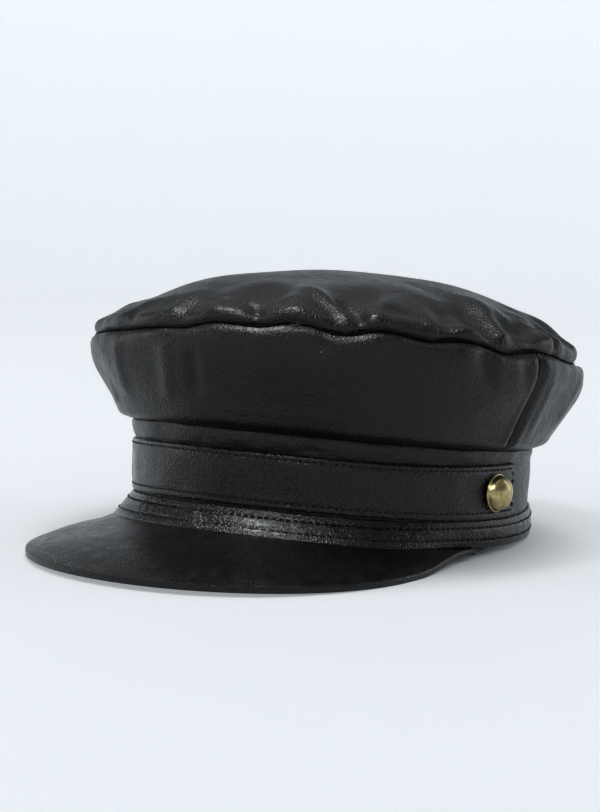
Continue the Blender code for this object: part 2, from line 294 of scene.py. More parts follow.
# Soft dents in the top: half width in degrees, spread inwards and depth in millimetres
TOP_DENTS = (
    # angle, inward, width, spread, depth
    (-56.0, 0.22, 26.0, 0.20, 3.4),
    (-30.0, 0.16, 9.0, 0.11, 1.2),
    (15.0, 0.20, 8.0, 0.11, 1.7),
    (43.7, 0.20, 7.0, 0.12, 2.0),
    (64.0, 0.16, 7.0, 0.10, 1.9),
    (83.0, 0.09, 4.5, 0.07, 1.7),
    (104.0, 0.16, 7.0, 0.11, 1.5),
    (131.0, 0.18, 9.0, 0.12, 1.3),
    (159.0, 0.20, 9.0, 0.12, 1.6),
    (-166.0, 0.18, 9.0, 0.12, 1.4),
    (-138.0, 0.20, 8.0, 0.12, 1.6),
    (-112.0, 0.18, 9.0, 0.11, 1.5),
    (-84.0, 0.18, 8.0, 0.11, 1.4),
)

# Soft folds in the crown's side wall: depth as a share of the overhang, middle and spread as shares of height
SIDE_FOLDS = (
    # angle, width, depth, middle, spread
    (-170.0, 8.0, -0.09, 0.60, 0.30),
    (-148.0, 7.0, 0.07, 0.55, 0.32),
    (-126.0, 8.0, -0.08, 0.66, 0.28),
    (-104.0, 6.0, 0.06, 0.50, 0.34),
    (-78.0, 7.0, -0.10, 0.62, 0.30),
    (-58.0, 5.5, 0.09, 0.58, 0.34),
    (-44.0, 4.5, -0.11, 0.60, 0.30),
    (-30.0, 5.0, 0.07, 0.55, 0.34),
    (-12.0, 6.0, -0.09, 0.66, 0.30),
    (6.0, 6.0, 0.05, 0.72, 0.22),
    (30.0, 4.5, -0.10, 0.88, 0.16),
    (49.0, 4.5, -0.09, 0.88, 0.16),
    (62.0, 6.0, 0.05, 0.74, 0.24),
    (71.0, 4.0, -0.10, 0.84, 0.18),
    (82.0, 4.5, 0.06, 0.70, 0.26),
    (101.0, 5.5, -0.08, 0.60, 0.30),
    (122.0, 7.0, 0.06, 0.62, 0.30),
    (146.0, 8.0, -0.08, 0.58, 0.32),
    (166.0, 7.0, 0.06, 0.60, 0.30),
)

# Finer creases of the side wall: angles at its foot and at its rim, the heights they start and end at as
# shares, their half width in degrees and their lift in millimetres
SIDE_CREASES = (
    # at_foot, at_rim, start, end, width, lift
    (-29.0, -23.0, 0.20, 0.95, 2.4, 0.8),
    (-38.0, -45.0, 0.10, 0.90, 2.6, 0.9),
    (-10.0, -5.0, 0.20, 0.90, 2.4, 0.7),
    (0.0, 3.0, 0.25, 0.80, 2.0, -0.8),
    (31.0, 33.0, 0.70, 1.00, 1.6, -0.9),
    (48.0, 50.0, 0.72, 1.00, 1.6, -0.8),
    (70.0, 69.0, 0.66, 1.00, 1.8, -1.0),
    (75.0, 73.0, 0.60, 1.00, 1.6, 0.6),
    (83.0, 80.0, 0.60, 1.00, 1.6, -0.7),
    (93.0, 91.0, 0.10, 0.95, 2.2, 0.8),
    (108.0, 112.0, 0.20, 0.95, 2.6, 0.8),
    (132.0, 128.0, 0.25, 0.95, 2.6, 0.7),
    (156.0, 160.0, 0.20, 0.90, 2.8, 0.8),
    (-176.0, -180.0, 0.25, 0.95, 2.6, 0.7),
    (-158.0, -154.0, 0.20, 0.90, 2.4, 0.7),
    (-134.0, -138.0, 0.25, 0.95, 2.6, 0.8),
    (-112.0, -108.0, 0.20, 0.90, 2.4, 0.8),
    (-90.0, -93.0, 0.25, 0.95, 2.2, 0.7),
    (-66.0, -63.0, 0.20, 0.90, 2.4, 0.8),
)

# Steps round the whole head for the fine walls, and over a wall's rounded edge
STEPS = 720
EDGE_STEPS = 4
SHARP_ANGLE = 60.0

# Camera, fitted to the photograph's outline: it looks at the middle of the cap's box
IMAGE_WIDTH = 600
IMAGE_HEIGHT = 812
SENSOR = 36.0
CAMERA_AZIMUTH = 34.50
CAMERA_ELEVATION = 6.64
CAMERA_ROLL = 0.77
CAMERA_DISTANCE = 0.981
FOCAL_PIXELS = 2088.8
SHIFT_RIGHT_PIXELS = 6.6

# Surroundings: a white dish that glows a little by itself, less under the cap, which paints a shadow there,
# and not at its top, which is painted dark as shade
DISH_RADIUS = 3.0
DISH_HEIGHT = 1.7
DISH_BEND = 0.8
GLOW_START = 0.25
WALL_GLOW = 0.16
FLOOR_GLOW = 0.32
PAINTED_SHADOW_REACH = (0.085, 0.135)
TOP_SHADE_HEIGHTS = (0.55, 1.0)
DISH_SIDES = 96
DISH_BEND_STEPS = 12
SKY_COLOUR = (0.93, 0.97, 1.0)
SKY_STRENGTH = 0.27

# Lights, placed as the camera sees them from the cap: to its right, behind it and above it, in metres
SOFT_LIGHTS = (
    # name, right, behind, up, width, height, power, colour
    ("key_over", -0.54, -0.24, 1.78, 0.34, 0.30, 3.2, (0.97, 0.99, 1.0)),
    ("fill_over", 0.3, -0.2, 2.6, 2.4, 2.0, 16.4, (0.96, 0.98, 1.0)),
    ("back_soft", -0.1, 1.60, 1.00, 1.4, 0.5, 0.5, (0.93, 0.97, 1.0)),
    ("left_soft", -1.35, 0.25, 0.45, 0.4, 0.8, 3.5, (0.95, 0.98, 1.0)),
    ("right_soft", 1.35, 0.45, 0.50, 0.4, 0.8, 2.6, (0.94, 0.97, 1.0)),
)

# Lamps that only show as glints on the leather and the brass
GLINT_LIGHTS = (
    # name, right, behind, up, width, height, power, colour
    ("glint_over", -0.46, -0.16, 1.80, 0.62, 0.42, 50.0, (0.95, 0.98, 1.0)),
    ("glint_front", -0.25, -1.35, 1.20, 0.40, 0.12, 9.0, (0.95, 0.98, 1.0)),
    ("button_glint_one", -0.55, -0.75, 0.60, 0.08, 0.08, 2.2, (1.0, 0.98, 0.95)),
    ("button_glint_two", -0.20, -0.80, 0.70, 0.08, 0.08, 2.2, (1.0, 0.98, 0.95)),
)

# Leather's gloss, its wear and painted highlight on edges and ridges, and painted shade in its grain's
# hollows
LEATHER_SPECULAR = 0.195
COAT_ROUGHNESS = 0.28
WORN_AND_LIT_COLOUR_SHARE = 0.14
WORN_SMOOTHING = 0.08
# Share of painted shade that darkens the grain's hollows
HOLLOW_PAINTED_SHADE = 0.35
HOLLOW_ROUGHENING = 0.10


# Shape rules

def ramp(value, start, end):
    """0 at start, 1 at end and a smooth ramp in between."""
    share = np.clip((value - start) / (end - start), 0.0, 1.0)
    return share * share * (3.0 - 2.0 * share)


def turn_between(angle, other):
    return (angle - other + 180.0) % 360.0 - 180.0


def bell(across):
    return np.exp(-across * across)


def place(angle, out, up):
    """Points that lie out from the head band's outer face, at the heights up."""
    turn = np.radians(angle)
    across, along = np.sin(turn), -np.cos(turn)
    size = np.hypot(across / HEAD_WIDTH, along / HEAD_LENGTH)
    x = across * HEAD_WIDTH / 2.0 + across / HEAD_WIDTH / size * out
    y = along * HEAD_LENGTH / 2.0 + along / HEAD_LENGTH / size * out
    return np.stack(np.broadcast_arrays(x, y + HEAD_MIDDLE, up), axis=-1)


def place_on_rim(angle, reach, up):
    """Points at the distance reach from the head's middle, towards the rim seam at each angle."""
    rim = place(angle, overhang(angle), 0.0 * angle)
    x, y = rim[..., 0], rim[..., 1] - HEAD_MIDDLE
    size = np.hypot(x, y)
    return np.stack(np.broadcast_arrays(x / size * reach, y / size * reach + HEAD_MIDDLE, up), axis=-1)


def rim_reach(angle):
    rim = place(angle, overhang(angle), 0.0 * angle)
    return np.hypot(rim[..., 0], rim[..., 1] - HEAD_MIDDLE)


def foot_height(angle):
    flat = math.cos(math.radians(REST_ANGLE))
    share = (np.cos(np.radians(angle)) - flat) / (1.0 - flat)
    return FRONT_RISE * np.maximum(share, 0.0) ** RISE_POWER


def backness(angle):
    return (1.0 - np.cos(np.radians(angle))) / 2.0


def strip_height(angle):
    return STRIP_HEIGHT_FRONT + (STRIP_HEIGHT_BACK - STRIP_HEIGHT_FRONT) * backness(angle)


def strap_top(angle):
    return foot_height(angle) + strip_height(angle) + GAP + STRAP_HEIGHT


def joint_height(angle):
    return strap_top(angle) + COLLAR_HEIGHT - BACK_DROP * backness(angle) ** 2


def overhang(angle):
    across = np.sin(np.radians(angle)) ** 2
    end = np.where(np.cos(np.radians(angle)) > 0.0, OVERHANG_FRONT, OVERHANG_BACK)
    return end + (OVERHANG_SIDE - end) * across


def rim_wander(angle):
    turn = (np.asarray(angle) + 180.0) % 360.0 - 180.0
    ends = [row[0] for row in RIM_WANDER] + [180.0]
    rises = [row[1] for row in RIM_WANDER] + [RIM_WANDER[0][1]]
    total = np.zeros_like(turn)
    for start, end, before, after in zip(ends, ends[1:], rises, rises[1:]):
        inside = (turn >= start) & (turn < end)
        total = np.where(inside, before + (after - before) * ramp(turn, start, end), total)
    return RIM_HEIGHT * total


def rim_height(angle, inward=0.0):
    tilt = RIM_TILT * np.cos(np.radians(angle))
    return RIM_HEIGHT + tilt * (1.0 - inward) ** 2 + rim_wander(angle) * (1.0 - inward) ** 4


def flare(angle):
    return STRIP_FLARE * (1.0 - ramp(np.abs(angle), FLARE_START, FLARE_END))


def peak_share(angle):
    return (1.0 - np.minimum(np.abs(angle) / PEAK_END, 1.0) ** PEAK_ROUNDNESS) ** PEAK_POINTEDNESS


def peak_edge_height(angle):
    share = peak_share(angle)
    front = PEAK_LIFT * np.maximum(0.0, (share - PEAK_LIFT_SHARE) / (1.0 - PEAK_LIFT_SHARE)) ** 2
    tip = np.maximum(0.0, 1.0 - share / PEAK_TIP_SHARE) ** PEAK_TIP_POWER
    return front + tip * (foot_height(angle) - GAP - PEAK_WALL)


def strip_out(angle, share):
    """How far out the strip's outer face is at a share of its height."""
    rows = np.array(STRIP_PROFILE)
    heights, flares = rows[:, 0], rows[:, 1]
    smooth = np.polynomial.polynomial.Polynomial.fit(heights, flares, 3)
    return GAP + STRIP_WALL + flare(angle) * smooth(share)


# Surface detail

def waves(points, size, seed, count=14):
    """Smooth, shapeless variation of about unit strength, whose lumps are about size across."""
    rng = np.random.default_rng(seed)
    total = np.zeros(points.shape[:-1])
    for _ in range(count):
        direction = rng.normal(size=3)
        direction /= np.linalg.norm(direction)
        pitch = size * rng.uniform(1.4, 2.8)
        total += np.sin(points @ direction * (2.0 * math.pi / pitch) + rng.uniform(0.0, 2.0 * math.pi))
    return total * math.sqrt(2.0 / count)


def creasing(points, size, seed):
    """Thin valleys that wander over the leather, 0 between them and 1 in their middles."""
    lumps = waves(points, size, seed)
    patches = ramp(waves(points, size * 3.0, seed + 1), -0.4, 1.2)
    return bell(lumps / 0.16) * patches


def normals_of(points, closed_round):
    """The outward normals of a grid of points that runs round the head and then along the profile."""
    if closed_round:
        wrapped = np.concatenate([points[-1:], points, points[:1]])
        around = wrapped[2:] - wrapped[:-2]
    else:
        around = np.gradient(points, axis=0)
    along = np.gradient(points, axis=1)
    normals = np.cross(around, along)
    return normals / np.maximum(np.linalg.norm(normals, axis=-1, keepdims=True), 1e-12)


def strips(near, far, closed):
    """Faces between two neighbouring rows of points, closed where the rows come back to their start."""
    if closed:
        corners = [near, far, np.roll(far, -1, axis=-1), np.roll(near, -1, axis=-1)]
    else:
        corners = [near[..., :-1], far[..., :-1], far[..., 1:], near[..., 1:]]
    return np.stack(corners, axis=-1)


def slant_lengths(grid):
    """How far each point of a grid lies along its profile."""
    steps = np.linalg.norm(np.diff(grid, axis=1), axis=-1)
    return np.concatenate([np.zeros((len(grid), 1)), np.cumsum(steps, axis=1)], axis=1)


def closed_wall(name, grid, wall, closed_round, material, wear_and_highlight, inner_steps, cap_middle=False):
    """A leather wall from the grid of its outer face, with rounded edges and a plainer inner face.

    The grid is (angles, rows, 3). cap_middle closes the last row over the middle of the head."""
    normals = normals_of(grid, closed_round)
    keep = np.unique(np.linspace(0, grid.shape[1] - 1, inner_steps).round().astype(int))
    inner = grid[:, keep] - normals[:, keep] * wall

    def edge(row, inner_row, outward):
        """The rounded edge from the outer face's end to the inner face's."""
        middle = (grid[:, row] + inner[:, inner_row]) / 2.0
        half = (grid[:, row] - inner[:, inner_row]) / 2.0
        tangent = outward / np.maximum(np.linalg.norm(outward, axis=-1, keepdims=True), 1e-12)
        size = np.linalg.norm(half, axis=-1, keepdims=True)
        rows = []
        for step in range(1, EDGE_STEPS):
            lean = math.pi * step / EDGE_STEPS
            rows.append(middle + half * math.cos(lean) + tangent * size * math.sin(lean))
        return np.stack(rows, axis=1)

    parts = [grid]
    if not cap_middle:
        parts.append(edge(-1, -1, grid[:, -1] - grid[:, -2]))
    parts.append(inner[:, ::-1])
    parts.append(edge(0, 0, grid[:, 0] - grid[:, 1])[:, ::-1])
    points = np.concatenate(parts, axis=1)
    rounds, rows = points.shape[:2]
    index = np.arange(rounds * rows).reshape(rounds, rows)
    following = np.roll(index, -1, axis=0)
    near, far = (index, following) if closed_round else (index[:-1], following[:-1])
    quads = strips(near, far, True)
    ends = []
    if cap_middle:
        open_row = grid.shape[1] - 1
        quads = np.delete(quads, open_row, axis=1)
        ends += [index[:, open_row].tolist(), index[::-1, open_row + 1].tolist()]
    if not closed_round:
        ends += [index[0].tolist(), index[-1, ::-1].tolist()]
    faces = quads.reshape(-1, 4).tolist() + ends
    shades = np.zeros((rounds, rows))
    shades[:, :grid.shape[1]] = wear_and_highlight
    return leather_object(name, points.reshape(-1, 3), faces, material, shades.ravel())


def leather_object(name, points, faces, material, wear_and_highlight=None):
    """A smooth-shaded object, with how worn each point is, and how much painted highlight it takes, where the
    material asks for it.
    """
    mesh = bpy.data.meshes.new(name)
    mesh.from_pydata(points.tolist(), [], faces)
    mesh.update()
    mesh.materials.append(material)
    mesh.shade_smooth()
    mesh.set_sharp_from_angle(angle=math.radians(SHARP_ANGLE))
    if wear_and_highlight is not None:
        attribute = mesh.attributes.new("wear_and_highlight", "FLOAT", "POINT")
        attribute.data.foreach_set("value", np.asarray(wear_and_highlight, dtype=np.float32))
    piece = bpy.data.objects.new(name, mesh)
    bpy.context.collection.objects.link(piece)
    return piece


def dressed(piece, slot, *nodes):
    """The piece rides on the cap and stands for these nodes."""
    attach(piece, "root")
    if nodes:
        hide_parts(*nodes)
    return piece


# Leather pieces

def ring_angles():
    return np.arange(STEPS) * 360.0 / STEPS - 180.0


def arc(start, end):
    count = int(round((end - start) / 360.0 * STEPS)) + 1
    return np.linspace(start, end, count)


def along_profile(points, count):
    """A smooth curve through rows of (height, values), read at count evenly spaced heights."""
    rows = np.array(points)
    heights = rows[:, 0]
    at = np.linspace(heights[0], heights[-1], count)
    columns = [smooth_line(heights, rows[:, column], at) for column in range(1, rows.shape[1])]
    return at, columns


def smooth_line(x, y, at):
    """A line through the points (x, y) with matching slopes, which never swings past them."""
    steps = np.diff(y) / np.diff(x)
    slopes = np.concatenate([steps[:1], (steps[:-1] + steps[1:]) / 2.0, steps[-1:]])
    slopes[1:-1] = np.where(steps[:-1] * steps[1:] > 0.0, slopes[1:-1], 0.0)
    cell = np.clip(np.searchsorted(x, at) - 1, 0, len(x) - 2)
    width = x[cell + 1] - x[cell]
    t = (at - x[cell]) / width
    low = (1.0 + 2.0 * t) * (1.0 - t) ** 2 * y[cell] + t * (1.0 - t) ** 2 * width * slopes[cell]
    high = t * t * (3.0 - 2.0 * t) * y[cell + 1] + t * t * (t - 1.0) * width * slopes[cell + 1]
    return low + high


def crown_top(material):
    """The round top: gathered at the rim seam, rolled over it, and creased."""
    angles = ring_angles()[:, None]
    lean_share = np.linspace(0.0, 1.0, 76)[None, :]
    lean = np.radians(0.5 + 88.0 * lean_share ** 1.15)
    inward = 1.0 - np.cos(lean)
    reach = rim_reach(angles)

    dent = np.zeros(np.broadcast_shapes(angles.shape, lean.shape))
    for centre, width, depth, far in PUCKERS:
        across = turn_between(angles, centre) / (width * (1.0 + inward / far))
        dent += TOP_RISE * depth * bell(across) * np.exp(-(inward / far) ** 2)
    dent *= PUCKER_AT_SEAM + (1.0 - PUCKER_AT_SEAM) * ramp(inward, 0.0, PUCKER_WHOLE)
    up = rim_height(angles, inward) + GAP / 2.0 + (TOP_RISE - dent) * np.sin(lean)
    grid = place_on_rim(angles, (reach - dent) * np.cos(lean), up)

    lift = np.zeros(dent.shape)
    for at_seam, at_end, far, width, height in TOP_CREASES:
        centre = at_seam + (at_end - at_seam) * np.minimum(inward / far, 1.3)
        across = turn_between(angles, centre) / (width * (1.0 + 1.6 * inward / far))
        fade = (1.0 - ramp(inward, 0.45 * far, far)) * (0.35 + 0.65 * ramp(inward, 0.0, 0.02))
        lift += height * bell(across) * fade
    for centre, middle, width, spread, depth in TOP_DENTS:
        lift -= depth * bell(turn_between(angles, centre) / width) * bell((inward - middle) / spread)
    pinch = np.zeros(dent.shape)
    threads = np.zeros(dent.shape)
    for centre, *_ in PUCKERS:
        across = turn_between(angles, centre)
        pinch = np.maximum(pinch, bell(across / 4.5))
        threads += bell(across / 4.0) * np.cos(2.0 * math.pi * across / 1.25)
    lean_degrees = np.degrees(lean)
    roll = sum(height * bell((lean_degrees - at) / spread) for height, at, spread in RIM_ROLLS)
    roll = roll * (1.0 - PINCHED_SHARE * pinch)
    gather = 0.16 * threads * bell((lean_degrees - 8.0) / 7.0)
    gather += 0.09 * waves(grid * (1.0, 1.0, 0.0), 0.006, 11) * (1.0 - ramp(inward, 0.03, 0.12))
    soft = 0.28 * waves(grid, 0.026, 5) * ramp(inward, 0.02, 0.1)
    fine = -0.16 * creasing(grid, 0.012, 21) - 0.10 * creasing(grid, 0.006, 31)
    undercut = TOP_UNDERCUT * bell(lean_degrees / 3.2)
    raised = TOP_CREASE_GAIN * lift + roll + gather + soft + fine - undercut
    grid = grid + normals_of(grid, True) * raised[..., None] * MILLIMETRE

    tuck = np.array((1.0, 0.72, 0.4, 0.15))[None, :]
    under = place_on_rim(angles, reach - RIM_TUCK * tuck, rim_height(angles) + GAP / 2.0 + 0.0 * tuck)
    # Partly wear and partly painted highlight on the raised creases and the rolls over the rim seam.
    wear_and_highlight = ramp(lift + 0.6 * roll, 0.4, 1.8)
    wear_and_highlight = np.concatenate([np.zeros((STEPS, 4)), wear_and_highlight], axis=1)
    grid = np.concatenate([under, grid], axis=1)
    return closed_wall("gathered_top", grid, CROWN_WALL, True, material, wear_and_highlight, 18, cap_middle=True)


def crown_side(name, angles, material):
    """A panel of the crown's side wall, from the band to the rim seam, drawn in at its side seams."""
    angles = angles[:, None]
    shares, (front_out, back_out) = along_profile(SIDE_PROFILE, 46)
    shares = shares[None, :]
    foot = joint_height(angles)
    height = rim_height(angles) - GAP / 2.0 - foot
    hang = overhang(angles)
    seat = BAND_BULGE + GAP
    out = front_out + (back_out - front_out) * backness(angles)
    for centre, width, depth, middle, spread in SIDE_FOLDS:
        across = bell(turn_between(angles, centre) / width)
        out = out + depth * across * bell((shares - middle) / spread) * (1.0 - shares ** 8)
    grid = place(angles, seat + (hang - seat) * out, foot + height * shares)

    lift = np.zeros(grid.shape[:2])
    for at_foot, at_rim, start, end, width, tall in SIDE_CREASES:
        centre = at_foot + (at_rim - at_foot) * shares
        fade = ramp(shares, start, start + 0.2) * (1.0 - ramp(shares, end - 0.12, end + 0.02))
        lift += tall * bell(turn_between(angles, centre) / width) * fade
    inside = ramp(shares, 0.0, 0.12) * (1.0 - ramp(shares, 0.94, 1.0))
    soft = 0.4 * waves(grid, 0.020, 6) * inside
    fine = (-0.2 * creasing(grid, 0.010, 22) - 0.1 * creasing(grid, 0.006, 32)) * inside
    under_rim = ramp(shares, 0.8, 0.95) * (1.0 - ramp(shares, 0.97, 1.0))
    gather = 0.25 * waves(grid * (1.0, 1.0, 0.0), 0.007, 12) * under_rim
    seam = np.minimum(np.abs(angles - angles[0, 0]), np.abs(angles - angles[-1, 0]))
    groove = SEAM_LIP * bell((seam - 2.2) / 1.1) - SEAM_GROOVE * bell(seam / 0.7)
    undercut = SIDE_UNDERCUT * bell((shares - 1.0) / 0.022)
    raised = SIDE_CREASE_GAIN * lift + soft + fine + gather + groove * inside - undercut
    grid = grid + normals_of(grid, False) * raised[..., None] * MILLIMETRE

    tuck = np.array((0.35, 0.7, 1.0))[None, :]
    turned = place(angles, hang - RIM_TUCK * tuck, foot + height + 0.0 * tuck)
    grid = np.concatenate([grid, turned], axis=1)
    # Partly wear and partly painted highlight on the creases, the seams and the lip under the rim seam.
    wear_and_highlight = ramp(lift + groove, 0.25, 1.3) + 0.5 * bell((shares - 0.985) / 0.012)
    wear_and_highlight = np.concatenate([wear_and_highlight, np.zeros((len(angles), 3))], axis=1)
    return closed_wall(name, grid, CROWN_WALL, False, material, np.clip(wear_and_highlight, 0.0, 1.0), 14)


def band(material):
    """The head band, with a bulging collar between the strap and the crown."""
    angles = ring_angles()[:, None]
    foot = foot_height(angles) + BAND_WALL / 2.0
    high = joint_height(angles)
    low = np.minimum(strap_top(angles), high - COLLAR_HEIGHT / 2.0)
    collar, (outs,) = along_profile(COLLAR_PROFILE, 20)
    lower = np.linspace(0.0, 1.0, 5)[None, :-1]
    lower_up = foot + (low - foot) * lower
    upper_up = low + (high - low) * collar[None, :]
    turned = np.broadcast_to(high + BAND_TURN_IN - BAND_WALL / 2.0, (STEPS, 1))
    up = np.concatenate([lower_up, upper_up, turned], axis=1)
    out = np.concatenate([0.0 * lower_up, BAND_BULGE * outs + 0.0 * upper_up, 0.0 * turned], axis=1)
    grid = place(angles, out, up)
    wide = ramp(up, low, low + 0.003) * (1.0 - ramp(up, high - 0.002, high))
    soft = 0.16 * waves(grid, 0.010, 7) + 0.05 * waves(grid, 0.004, 8)
    fine = -0.12 * creasing(grid, 0.009, 23)
    dent = 0.25 * bell(turn_between(angles, 101.0) / 3.0)
    swell = COLLAR_SWELL * bell(turn_between(angles, COLLAR_SWELL_ANGLE) / COLLAR_SWELL_WIDTH)
    swell = swell * bell((high - 0.008 - up) / 0.012) * ramp(high - up, 0.0, 0.006)
    raised = wide * (soft + fine - dent) + swell
    grid = grid + normals_of(grid, True) * raised[..., None] * MILLIMETRE
    return closed_wall("head_band", grid, BAND_WALL, True, material, 0.0, 10)


def dimple(distance_along, distance_across, pitch):
    """How far the leather is drawn in along a row of stitches, most where the thread goes in."""
    hole = bell(distance_across / 0.00055) * (0.55 + 0.45 * np.cos(2.0 * math.pi * distance_along / pitch))
    return HOLE_DIMPLE * hole + ROW_DIMPLE * bell(distance_across / 0.0011)


def arc_length(angles):
    """The length along the band's outer face up to each angle."""
    points = place(angles, 0.0 * angles, 0.0 * angles)
    steps = np.linalg.norm(np.diff(points, axis=0), axis=-1)
    return np.concatenate([[0.0], np.cumsum(steps)])


def strap(material):
    """The strap: a flat strip with two rows of stitches, square ends and a slightly pillowed rim."""
    trim = math.degrees(STRAP_WALL / 2.0 / (HEAD_LENGTH / 2.0))
    angles = arc(-STRAP_END + trim, STRAP_END - trim)
    along = arc_length(angles)
    angles = angles[:, None]
    length = along[-1]
    from_top = np.linspace(STRAP_WALL / 2.0, STRAP_HEIGHT - STRAP_WALL / 2.0, 40)[None, ::-1]
    up = strap_top(angles) - from_top
    out = (GAP + STRAP_WALL) * np.ones_like(up)
    grid = place(angles, out, up)
    from_end = np.minimum(along, length - along)[:, None]
    run = along[:, None]
    upper = dimple(run, from_top - STRAP_STITCH_TOP, STITCH_PITCH)
    lower = dimple(run, from_top - STRAP_HEIGHT + STRAP_STITCH_LOW, STITCH_PITCH)
    ends = dimple(from_top - STRAP_STITCH_TOP, from_end - STRAP_STITCH_END, STITCH_PITCH)
    drawn = np.maximum(np.maximum(upper, lower), ends)
    edge = np.minimum(np.minimum(from_top, STRAP_HEIGHT - from_top), from_end + STRAP_WALL / 2.0)
    rounded = -0.30 * bell(edge / 0.0011)
    middle = ramp(from_top, 0.002, 0.006) * (1.0 - ramp(from_top, STRAP_HEIGHT - 0.007, STRAP_HEIGHT - 0.003))
    soft = 0.16 * waves(grid, 0.012, 9) * middle - 0.10 * creasing(grid, 0.008, 24) * middle
    seat = -BUTTON_SEAT_DEPTH * sum(bell(np.hypot((run - np.interp(centre, angles[:, 0], along)) / 0.0105,
                                     (from_top - STRAP_HEIGHT / 2.0) / 0.0105) ** 2)
                       for centre in (-BUTTON_ANGLE, BUTTON_ANGLE))
    grid = grid + normals_of(grid, False) * (soft + rounded + seat - drawn)[..., None] * MILLIMETRE
    # Partly wear and partly a painted highlight line along the strap's edges.
    wear_and_highlight = 0.5 * bell((edge - 0.0005) / 0.0004)
    return closed_wall("front_strap", grid, STRAP_WALL, False, material, wear_and_highlight, 6)


def strip_rows(angles, shares):
    """Places on the strip's outer face, at shares of its height."""
    up = foot_height(angles) + strip_height(angles) * shares
    return place(angles, strip_out(angles, shares), up)


def base_strip(material):
    """The strip round the band's foot, which flares over the peak, with two rows of stitches."""
    angles = ring_angles()
    along = arc_length(angles)[:, None]
    angles = angles[:, None]
    rim = STRIP_WALL / 2.0 / STRIP_HEIGHT_BACK
    shares = np.linspace(rim, 1.0 - rim, 34)[None, :]
    grid = strip_rows(angles, shares)
    slant = slant_lengths(grid)
    whole = slant[:, -1:]
    lower = dimple(along, slant - whole * STRIP_STITCH_LOW_SHARE, STITCH_PITCH)
    upper = dimple(along + STITCH_PITCH / 2.0, slant - whole * (1.0 - STRIP_STITCH_TOP_SHARE), STITCH_PITCH)
    drawn = np.maximum(lower, upper)
    edge = np.minimum(slant, whole - slant)
    rounded = -0.25 * bell(edge / 0.0010)
    inside = ramp(edge, 0.001, 0.004)
    pillow = STRIP_PILLOW * inside * (1.0 + 0.25 * waves(grid, 0.007, 10))
    pucker = 0.045 * waves(grid, 0.0032, 13) * ramp(edge, 0.0006, 0.003)
    grid = grid + normals_of(grid, True) * (pillow + pucker + rounded - drawn)[..., None] * MILLIMETRE
    # Partly wear and partly a painted highlight line along the strip's edges.
    wear_and_highlight = 0.6 * bell((edge - 0.0005) / 0.0004)
    return closed_wall("stitched_strip", grid, STRIP_WALL, True, material, wear_and_highlight, 6)


def peak(material):
    """The peak: one stiff sheet of leather with a cut edge."""
    angles = arc(-PEAK_END, PEAK_END)[:, None]
    foot = foot_height(angles) - GAP
    start = GAP + flare(angles) + PEAK_SEAT
    edge = PEAK_TIP + PEAK_REACH * peak_share(angles)
    low = peak_edge_height(angles) + PEAK_WALL
    shares = np.linspace(0.0, 1.0, 60)[None, :]
    drop = shares + PEAK_BEND * np.sin(2.0 * math.pi * shares)
    out = start + (edge - start) * shares
    up = foot + (low - foot) * drop
    tuck = np.array((0.0, 0.5))[None, :]
    tuck_up = foot + PEAK_TUCK * flare(angles) / STRIP_FLARE * (1.0 - tuck)
    out = np.concatenate([GAP + (start - GAP) * tuck, out], axis=1)
    up = np.concatenate([tuck_up, up], axis=1)
    top = place(angles, out, up)
    wide = edge - start
    face = np.concatenate([np.zeros((1, 2)), shares], axis=1)
    from_edge = (1.0 - face) * wide
    soft = (0.14 * waves(top, 0.020, 15) - 0.06 * creasing(top, 0.009, 25)) * ramp(from_edge, 0.0, 0.006)
    rounded = -0.10 * bell(from_edge / 0.0006)
    top[..., 2] += (soft + rounded) * MILLIMETRE

    # The cut edge, slightly slanted and wavy, and the underside
    cut = np.array((0.12, 0.35, 0.65, 0.9))[None, :]
    cut_out = edge + 0.00018 * np.sin(math.pi * cut)
    cut_up = low - 0.0004 - (PEAK_WALL - 0.0005) * cut
    cut_points = place(angles, cut_out, cut_up)
    cut_points[..., 2] += 0.00006 * waves(cut_points, 0.004, 16)
    under_shares = np.linspace(1.0, 0.0, 14)[None, :]
    under_drop = under_shares + PEAK_BEND * np.sin(2.0 * math.pi * under_shares)
    under = place(angles, start + (edge - start) * under_shares, foot + (low - foot) * under_drop - PEAK_WALL)
    last = place(angles, GAP + 0.0 * angles, foot + PEAK_TUCK * flare(angles) / STRIP_FLARE - PEAK_WALL)
    points = np.concatenate([top, cut_points, under, last], axis=1)
    rounds, rows = points.shape[:2]
    index = np.arange(rounds * rows).reshape(rounds, rows)
    quads = strips(index[:-1], index[1:], True).reshape(-1, 4)
    faces = quads.tolist() + [index[0].tolist(), index[-1, ::-1].tolist()]
    wear_and_highlight = np.zeros((rounds, rows))
    # Partly wear and partly a painted highlight line along the peak's edge and its cut.
    wear_and_highlight[:, :top.shape[1]] = 0.15 * bell((from_edge - 0.0007) / 0.0006)
    wear_and_highlight[:, top.shape[1]:top.shape[1] + cut.shape[1]] = 0.05
    return leather_object("stiff_peak", points.reshape(-1, 3), faces, material, wear_and_highlight.ravel())


# Thread

